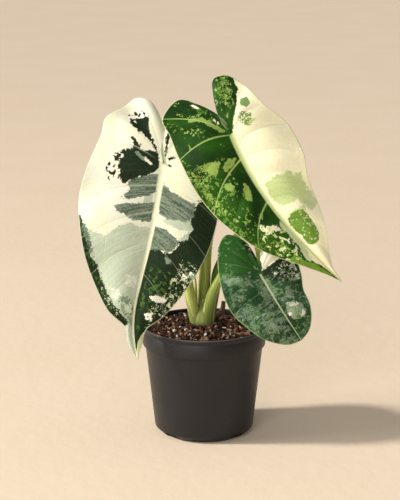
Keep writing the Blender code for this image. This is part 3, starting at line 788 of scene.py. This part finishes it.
# Left blade: mostly ivory above, sage below, with near-black sectors right of the midrib, a fan and
# a broad splash by the attachment, and grey sectors that follow the veins. Its tip is a long drip.
left_leaf = {
    "at": (-38.7, -30.0, 271.5), "toward": (-0.138, -0.193, -0.971), "across": (0.985, -0.128, -0.114),
    "bow": -8.5, "bow_late": 2.5, "bend": 5.0, "arch": (10.0, 0.2, 5.0), "pillow": 4.0,
    "wave": (3.2, 0.9, 0.4), "quilt": 0.8,
    "ribs": ((187, 187, 0, 187, 0), (162, 172, -11, 171, 3), (134, 157, -16, 157, 5),
             (104, 142, -35.5, 142, 20), (74, 113, -54.5, 113, 38.5), (45, 80, -67, 81, 52),
             (20, 46, -75, 46, 58), (3, 16, -71, 18, 57), (0, -17, -63, -13, 48),
             (0, -35, -60, -31, 42), (0, -47, -46, -46, 33), (0, -58, -34, -56, 20),
             (0, -55, -18, -54, 6), (0, -34, -5, -36, 1.5), (0, -7, -0.6, -7, 0.6)),
    "strong": ((3, 4, 5, 6, 8, 11), (3, 4, 5, 6, 8, 11)),
    "midrib_width": 4.2, "rib_show": 0.45, "rib_width": (2.3, 1.0), "faint": (0.3, 0.35), "weak": 0.5,
    "rib_colour": paint(206, 214, 186),
    "midrib_colour": paint(228, 232, 200), "margin_colour": paint(214, 220, 188),
    "base": (paint(231, 232, 217), paint(226, 226, 199)),
    "layers": (
        layer("sage", (194, 204, 184), (176, 190, 166), 0.8,
            ((61, -1.6), (61, -15), (59, -23), (62, -32), (70, -39), (75, -45), (72, -53), (71, -62),
             (66, -80), (100, -80), (130, -50), (165, -20), (187, -4), (187, 0), (175, -3.9), (160, -7.2),
             (140, -8.5), (120, -7.3), (100, -5.2), (80, -3.1)),
            ((26, -13), (26, -5), (42, -5), (42, -14)),
            ((46, 30), (52, 42), (60, 38), (58, 22), (54, 8), (49, 10), (51, 24)),
            ((58, 34), (63, 38), (70, 34), (73, 26), (70, 23), (66, 28))),
        layer("grey", (60, 80, 60), (134, 148, 130), 0.7,
            ((10, -2), (13, -17), (18, -28), (22, -30), (26, -27), (32, -30), (38, -35), (37, -24),
             (33, -14), (28, -2)),
            ((44, -39), (41, -29), (40, -16), (37, -2), (56, -3), (57, -11), (55, -23), (51, -30),
             (50, -37)),
            ((17, 3), (25, 11), (27, 18), (31, 26), (33, 36), (45, 38), (51, 31), (50, 22), (51, 12),
             (47, 3), (34, 0)),
            ((59, -0.5), (60, 11), (65, 20), (69, 25), (76, 25), (81, 19), (82, 8), (82, -2.5)),
            ((60, -72), (66, -65), (80, -58), (92, -54), (96, -60), (80, -72)), streaks=7.0),
        layer("ash", (104, 126, 100), (138, 156, 130), 1.3,
            ((124, -26), (130, -12), (142, -8.6), (160, -7.4), (152, -14), (142, -22)), holes=0.3),
        layer("deep_and_sinus_shade", (8, 24, 9), (22, 46, 16), 1.0,
            ((-40, -39), (-44, -34), (-46, -28), (-45, -20), (-39, -19), (-33, -18), (-26, -15), (-17, -10),
             (-7, -4), (-8, -6), (-17, -13), (-22, -18), (-28, -28), (-33, -36)),
            ((-21, -33), (-21, -28), (-14, -23), (-8, -24), (-7, -31), (-14, -30)),
            ((-10, -5), (-10, -13), (-11, -23), (-9, -36), (-4, -45), (5, -48), (10, -43), (17, -41),
             (24, -33), (20, -29), (14, -16), (9, -7), (4, -3), (-4, -4)),
            ((5, -49), (10, -51), (17, -52), (22, -48), (17, -41), (8, -43)),
            ((56, -80), (60, -70), (70, -67), (82, -62), (94, -57), (104, -48), (117, -42), (127, -36),
             (138, -27), (146, -18), (152, -12), (158, -16), (150, -34), (130, -60), (100, -80)),
            ((28, 44), (31, 37), (45, 35), (50, 33), (56, 36), (62, 34), (68, 33), (69, 26), (76, 25),
             (82, 18), (81, 8), (82, -3), (100, -5.2), (120, -7.3), (140, -8.5), (160, -7.2), (176, -3.9),
             (187, 0), (172, 10), (120, 60), (60, 80), (28, 75)),
            ((-9, 9), (-6, 5), (-4, 6), (-7, 11)),
            ((0, 4), (3, 7), (2, 9), (0, 7)),
            # This last strip is painted shade: a dark line along the sinus, where the two lobes meet behind
            # the stalk.
            ((-5, 0.4), (-8, 2.2), (-20, 3.0), (-36, 3.4), (-36, 0.6), (-20, 0.2))),
        layer("splash", (128, 146, 128), (110, 130, 110), 0.5,
            ((-8, -28), (-8, -24), (-2, -16), (1, -12), (0, -18), (-4, -25)),
            ((86, 14), (92, 16), (93, 20), (88, 20)),
            ((101, 36), (104, 42), (100, 46), (97, 40))),
        layer("moss", (36, 70, 16), (70, 106, 38), 1.6,
            ((98, 2), (100, 30), (110, 40), (130, 24), (150, 8), (158, -3), (130, -4)),
            ((64, -80), (64, -68), (92, -58), (128, -38), (152, -16), (140, -40),
             (100, -76)), holes=0.74, coarse=True),
        layer("cloudlets", (228, 232, 214), (206, 214, 190), 1.4,
            ((107, -20), (109, -10), (117, -9), (119, -14), (115, -21)),
            ((121, -31), (123, -24), (129, -22), (134, -26), (130, -32)),
            ((134, -16), (136, -11), (142, -11), (141, -17)), holes=0.25),
        layer("chips", (224, 228, 196), (160, 182, 122), 1.5,
            ((88, 30), (92, 48), (116, 42), (140, 22), (154, 4), (146, 2), (130, 12),
             (110, 22)), holes=0.84, coarse=True),
        layer("curl", (222, 224, 182), (196, 206, 152), 0.15,
            ((154, 9), (158, 4), (164, 0.5), (170, -1.2), (179, -1.6), (187, 0), (187, 8), (160, 14))),
        layer("bites", (244, 238, 220), (240, 232, 208), 1.0,
            ((-14, -35), (-4, -37), (6, -39), (16, -37), (26, -36), (24, -48), (10, -56), (-8, -52)),
            ((-50, -36), (-50, -18), (-41, -21), (-38, -29), (-37, -40)), holes=0.5, coarse=True),
        layer("white", (252, 250, 240), (240, 240, 222), 0.7,
            ((-5, -19), (0, -12), (4, -6), (2, -11), (-1, -17)),
            ((3, -45), (6, -45), (6, -40), (3, -41)),
            ((9, -50), (13, -50), (12, -46), (9, -47)),
            ((-41, -37), (-35, -32), (-34, -29), (-39, -34)),
            ((-44, -29), (-40, -26), (-41, -24), (-45, -26)),
            ((124, 4), (123, 12), (126, 22), (129, 20), (129, 8)),
            ((141, 2), (140, 10), (146, 9), (147, 3)),
            ((99, 34), (103, 38), (106, 34), (101, 31)),
            ((96, 40), (99, 44), (102, 42), (99, 38))),
    ),
    "pepper": ((0.32, 6.0, ((84, 26), (84, 60), (140, 40), (150, 0), (128, 2), (112, 18))),
               (0.34, 3.0, ((100, -50), (128, -24), (150, -8), (156, -20), (130, -44)))),
    "pepper_colour": paint(214, 222, 188),
    "fleck": ((0.42, 4.0, ((84, 20), (84, 60), (140, 40), (150, 0), (120, 4))),
              (0.38, 3.0, ((40, -60), (60, -80), (100, -70), (140, -30), (120, -30), (90, -52)))),
    "fleck_colour": (paint(70, 106, 52), paint(112, 140, 96)),
}
left_end = blade("left_blade", left_leaf, "blade_left")
stalk("left_stalk", ((-7.4, 7.2, 104.6), (-9.5, 7, 118), (-13.2, 6, 136), (-18.5, 3, 165), (-27, -1, 205),
                     (-35, -5, 242), (-38.3, -12, 264)), 5.6, 2.0, (0.42, 150), painted_sunlit_skin, "stalk_green",
      "petiole_left", *left_end)


# Upper blade: the largest, one half deep fresh green with yellow-green splashes, the other half cream
# clouded with pale green, parted along the midrib. Its edge and veins are pale.
upper_leaf = {
    "at": (25.6, -45.0, 301.9), "toward": (0.603, -0.195, -0.773), "across": (0.795, 0.228, 0.563),
    "bow": -11.0, "bow_late": 0.85, "bend": 5.0, "arch": (11.0, 0.2, 5.0), "pillow": 4.5,
    "wave": (2.6, 0.8, 2.1), "quilt": 1.4,
    "ribs": ((170, 170, 0, 170, 0), (146, 157, -7, 156, 1), (120, 142, -17, 142, 7),
             (95, 122, -31, 122, 17), (69, 100, -44, 98, 26), (45, 75, -53.5, 72, 33.5),
             (23, 49, -58.5, 52, 43), (9, 20, -59, 23, 48), (0, -10, -53.5, -6, 40),
             (0, -33, -47, -28, 38), (0, -50, -43, -46, 31), (0, -56, -20, -52, 18),
             (0, -38, -8, -38, 9), (0, -8, 0, -8, 1.2)),
    "strong": ((4, 6, 8, 10), (6, 7, 8, 10)),
    "midrib_width": 3.6, "rib_show": 0.85, "rib_width": (1.5, 1.1), "faint": (0.0, 0.55), "weak": 0.7,
    "rib_colour": paint(176, 204, 116),
    "midrib_colour": paint(208, 224, 158), "margin_colour": paint(220, 226, 176),
    "base": (paint(12, 50, 0), paint(36, 86, 6)),
    "layers": (
        layer("mid", (92, 138, 40), (62, 110, 24), 1.2,
            ((0, -62), (2, -52), (20, -50), (40, -52), (60, -50), (80, -46), (100, -36), (118, -28),
             (118, -40), (80, -60), (40, -70)),
            ((-46, -16), (-40, -10), (-20, -5), (-12, -2), (-12, -8), (-30, -14)),
            ((-50, 30), (-44, 12), (-30, 10), (-28, 18), (-40, 26)), holes=0.55, coarse=True),
        layer("lime_and_sheen", (158, 184, 98), (140, 170, 78), 0.7,
            ((9, -31), (15, -25), (18, -29), (23, -37), (17, -40), (11, -42), (7, -38)),
            ((20, -10), (16, -17), (20, -27), (26, -26), (24, -17)),
            ((35, -29), (40, -28), (43, -33), (39, -37), (34, -35)),
            ((43, -19), (49, -17), (54, -20), (60, -21), (60, -25), (56, -26), (47, -24)),
            ((64, -46), (66, -43), (69, -45), (67, -48)),
            ((30, -50), (34, -48), (36, -52), (31, -54)),
            # This band along the lobe vein is partly the leaf's own light green and partly a painted sheen on
            # the basal lobe.
            ((-35, -25), (-30, -14), (-18, -8), (-6, -4), (-8, -8), (-18, -13), (-27, -17), (-33, -27))),
        layer("cream", (255, 252, 220), (252, 246, 204), 0.5,
            ((-2, 2), (-10, 9), (-15, 15), (-23, 23), (-28, 26), (-30, 30), (-39, 32), (-44, 37), (-70, 60),
             (-40, 80), (60, 90), (200, 40), (200, 0), (168, -1), (150, -5), (134, -13), (129, -15),
             (122, -12), (107, -11), (82, -12), (50, -11), (35, -8.5), (19, -5), (6, -2)),
            ((-46, -15), (-42, -11), (-36, -9), (-40, -13))),
        layer("cloud", (206, 222, 156), (184, 206, 130), 0.9,
            ((56, -5), (54, 5), (57, 14), (58, 22), (64, 22), (66, 30), (74, 27), (87, 24), (95, 23),
             (98, 16), (90, 12), (84, 12), (83, 3), (80, -4), (72, -7)),
            ((92, -6), (90, 2), (92, 14), (96, 12), (94, 0)),
            ((-4, 20), (2, 26), (3, 18), (0, 13)), soft=0.9, streaks=2.0, opacity=0.92),
        layer("haze", (212, 222, 176), (200, 214, 158), 1.0,
            ((77, 27), (88, 28), (98, 25), (101, 17), (92, 15), (86, 18), (84, 24)),
            ((90, -13), (97, -12), (110, -9.5), (122, -9), (130, -9), (138, -12), (134, -17), (128, -14),
             (115, -14), (104, -15), (96, -16)), soft=0.8),
        layer("spots", (140, 166, 104), (118, 152, 84), 0.45,
            ((-22, 26), (-20, 31), (-16, 32), (-13, 30), (-12, 25), (-17, 22))),
        layer("speckles", (126, 160, 84), (92, 132, 52), 1.2,
            ((-10, 14), (-11, 20), (-5, 25), (0, 22), (2, 15), (-4, 11)), holes=0.3),
        layer("mottle", (156, 180, 116), (122, 156, 78), 1.2,
            ((-52, 12), (-52, 30), (-40, 29), (-28, 24), (-16, 12), (-14, 4), (-30, 4), (-44, 10)),
            ((-40, -20), (-34, -14), (-22, -8), (-12, -5), (-20, -14),
             (-30, -22)), holes=0.86, coarse=True),
        layer("leafy", (118, 158, 56), (98, 140, 42), 0.5,
            ((93, -6), (91, 2), (94, 9), (101, 11), (112, 11), (120, 10), (126, 5), (127, -1), (122, -5),
             (114, -5), (106, -7), (99, -8)),
            ((122, -20), (132, -17), (144, -9), (156, -5), (166, -2), (158, -9), (148, -14), (135, -24),
             (126, -30)), holes=0.02, streaks=2.5),
        layer("white", (252, 248, 224), (244, 242, 206), 1.3,
            ((83, -31), (87, -26), (90, -21), (95, -16), (97, -19), (94, -24), (95, -29), (90, -31),
             (87, -34)),
            ((103, -22), (108, -17), (113, -17), (113, -20), (107, -21)),
            ((-22, -6), (-18, -4), (-16, -5), (-19, -7))),
        layer("chips", (240, 240, 196), (196, 216, 130), 1.2,
            ((88, -36), (86, -26), (100, -16), (124, -14), (132, -20), (122, -30),
             (104, -38)), holes=0.76, coarse=True),
    ),
    "pepper": ((0.55, 4.0, ((0, -60), (30, -58), (60, -54), (60, -44), (30, -46), (22, -34), (4, -34))),
               (0.5, 4.0, ((-30, -40), (-30, -20), (-14, -14), (-14, -30))),
               (0.42, 4.0, ((-52, 12), (-52, 34), (-30, 28), (-16, 12), (-30, 6))),
               (0.5, 4.0, ((96, -38), (120, -28), (126, -18), (104, -20)))),
    "pepper_colour": paint(150, 182, 86),
    "fleck": ((0.4, 6.0, ((-60, -60), (-60, 4), (-20, 0), (20, -12), (60, -16), (120, -16), (150, -8),
                          (120, -50), (60, -70), (0, -66))),
              (0.48, 10.0, ((10, -70), (6, -30), (30, -22), (60, -22), (100, -18), (130, -16),
                            (120, -50), (60, -70))),
              (0.42, 3.0, ((-60, 40), (-60, 0), (-10, 2), (-14, 12), (-30, 26)))),
    "fleck_colour": (paint(96, 144, 40), paint(150, 182, 88)),
}
upper_end = blade("upper_blade", upper_leaf, "blade_upper")
stalk("upper_stalk", ((-0.2, 13.8, 104.6), (0.7, 13.8, 124), (1.2, 12.6, 148), (2.8, 9.6, 178),
                      (5.3, 6.5, 196), (8.2, 3, 214), (11.8, -2, 236), (16, -8, 258), (21, -17, 281),
                      (24.6, -27, 296)),
      5.7, 2.2, (0.4, 205), fresh, "stalk_green", "petiole_upper", *upper_end)


# Small blade: deep bluish green clouded with silver, a cream sector in its right lobe over a
# near-black speckled one, and a blunt end where the tip turns back under.
small_leaf = {
    "at": (52.4, -54.0, 170.5), "toward": (0.545, -0.164, -0.822), "across": (0.832, 0.224, 0.507),
    "bow": -1.2, "bow_late": 1.1, "bend": 2.5, "arch": (9.0, 0.3, 3.0), "pillow": 3.0,
    "wave": (1.4, 0.7, 1.0), "quilt": 1.1,
    "ribs": ((74, 74, 0, 74, 0), (67, 71, -12, 70, 11), (55, 63, -22, 61, 19), (42, 50, -32, 48, 25),
             (29, 34, -38, 34, 27), (16, 18, -42, 20, 33), (5, 2, -41, 4, 37), (0, -15, -35.5, -6, 34),
             (0, -31, -27.5, -15, 27), (0, -43, -19, -19, 20), (0, -48, -5, -18, 14),
             (0, -31, 6, -14, 11), (0, -6, 3.4, -6, 4.6)),
    "strong": ((3, 5, 6, 8), (3, 5, 7)),
    "midrib_width": 1.5, "rib_show": 0.5, "rib_width": (1.0, 1.0), "faint": (0.2, 0.2), "weak": 0.55,
    "rib_colour": paint(132, 160, 126),
    "midrib_colour": paint(196, 208, 168), "margin_colour": paint(150, 176, 118),
    "base": (paint(20, 58, 24), paint(38, 80, 46)),
    "layers": (
        layer("lobe", (42, 92, 28), (34, 80, 30), 1.0,
            ((-60, -30), (-60, 10), (-12, 16), (-6, -2), (-12, -20), (-14, -40)),
            ((2, -50), (6, -36), (24, -38), (40, -34), (56, -26), (60, -40), (20, -60)), soft=3.0),
        layer("night", (10, 26, 8), (26, 50, 22), 0.8,
            ((-4, 4), (-4, 12), (-5, 22), (-4, 40), (10, 46), (24, 38), (27, 26), (20, 18), (10, 5),
             (2, 2)),
            ((-40, 3), (-20, 16), (-10, 8), (-12, 4), (-26, 0)), soft=0.5, holes=0.06),
        layer("cloudy", (112, 138, 112), (140, 162, 136), 1.9,
            ((-20, -30), (-16, -22), (-12, -24), (-14, -32)),
            ((-6, -18), (4, -8), (6, -12), (0, -20)),
            ((2, -34), (6, -24), (12, -26), (8, -34)),
            ((18, -34), (20, -22), (32, -22), (34, -30), (26, -36)),
            ((42, -21), (44, -14), (49, -16), (47, -22)),
            ((66, -20), (64, -6), (72, -2), (74, -16)),
            ((28, 3), (29, 9), (33, 9), (34, 3)),
            ((34, -30), (40, -28), (42, -34), (36, -36)),
            ((3, -8), (6, 3), (16, 4), (27, 3), (30, -3), (22, -9),
             (12, -10)), soft=0.9, holes=0.25, opacity=0.75),
        layer("silver", (152, 168, 146), (136, 154, 130), 0.7,
            ((36, 5), (37, 12), (44, 18), (51, 18), (56, 10), (51, 4), (44, 2)), soft=0.6),
        layer("white", (246, 244, 230), (226, 230, 208), 1.0,
            ((36, 7), (38, 13), (42, 15), (43, 11), (40, 7)),
            ((50, 16), (53, 16), (54, 12), (51, 12)),
            ((45, 3), (47, 3), (46, 5))),
        layer("cream", (246, 242, 222), (238, 236, 208), 0.6,
            ((-24, 8), (-10, 7), (-2, 3), (-3, 12), (-3, 16), (-3, 22), (2, 31), (-2, 50), (-30, 45))),
    ),
    "pepper": ((0.42, 4.0, ((-2, 6), (-2, 34), (24, 38), (28, 24), (14, 10))),
               (0.6, 2.5, ((-50, -12), (-42, -24), (-24, -34), (-10, -42), (-10, -36), (-26, -28),
                           (-40, -18))),
               (0.55, 3.0, ((-40, 0), (-20, 16), (-12, 8), (-24, 2)))),
    "pepper_colour": paint(206, 214, 188),
    "marble": (0.72, paint(150, 170, 146), (
        (-26, -60), (-8, -8), (-2, -2), (4, 6), (10, 40), (80, 40), (80, -40), (30, -60))),
    "fleck": ((0.44, 5.0, (
        (-60, -60), (-60, 10), (-10, 8), (0, 6), (30, 50), (90, 30), (90, -40), (20, -60))),),
    "fleck_colour": (paint(70, 112, 52), paint(116, 148, 100)),
}
small_end = blade("small_blade", small_leaf, "blade_small")
stalk("small_stalk", ((3.4, 3.2, 104.6), (5, 3.2, 122), (9.6, 2.6, 140), (17.6, 0.8, 157), (25, -4, 177),
                      (30.5, -13, 196), (37.5, -23, 207), (45, -31, 205), (50, -37, 193), (52, -41.5, 178)),
      5.3, 1.8, (0.36, 100), fresh, "stalk_green", "petiole_small", *small_end)
